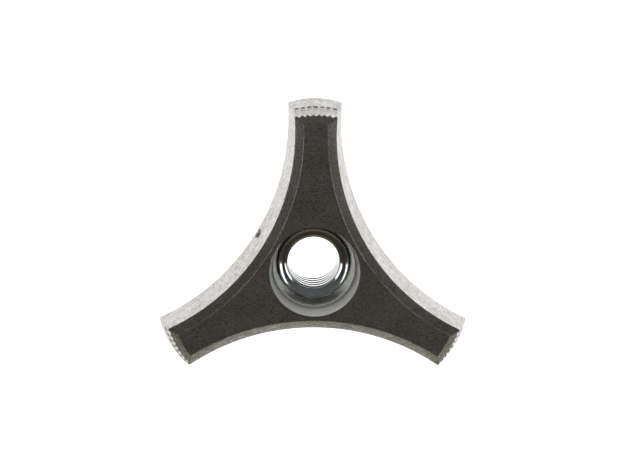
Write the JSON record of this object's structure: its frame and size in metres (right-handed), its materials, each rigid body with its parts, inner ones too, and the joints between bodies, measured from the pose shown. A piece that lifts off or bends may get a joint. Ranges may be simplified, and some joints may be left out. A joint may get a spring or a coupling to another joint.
{
  "type": "three-arm wing nut",
  "caption": "Cast star-shaped wing nut with concave sides, fluted arm ends and a counterbored threaded steel bush.",
  "frame": {"origin": "on the thread's axis, in the plane of the seat face at the back of the boss", "axes": "+Z along the thread's axis towards the open front face, +Y along one of the three arms"},
  "size_m": [0.0408, 0.0358, 0.0128],
  "materials": {
    "cast_body": "grit-blasted bare zinc-alloy casting",
    "plated_bush": "turned steel, bright zinc plated"
  },
  "bodies": {
    "root": {"wing_body": "cast_body", "threaded_bush": "plated_bush"}
  },
  "joints": []
}
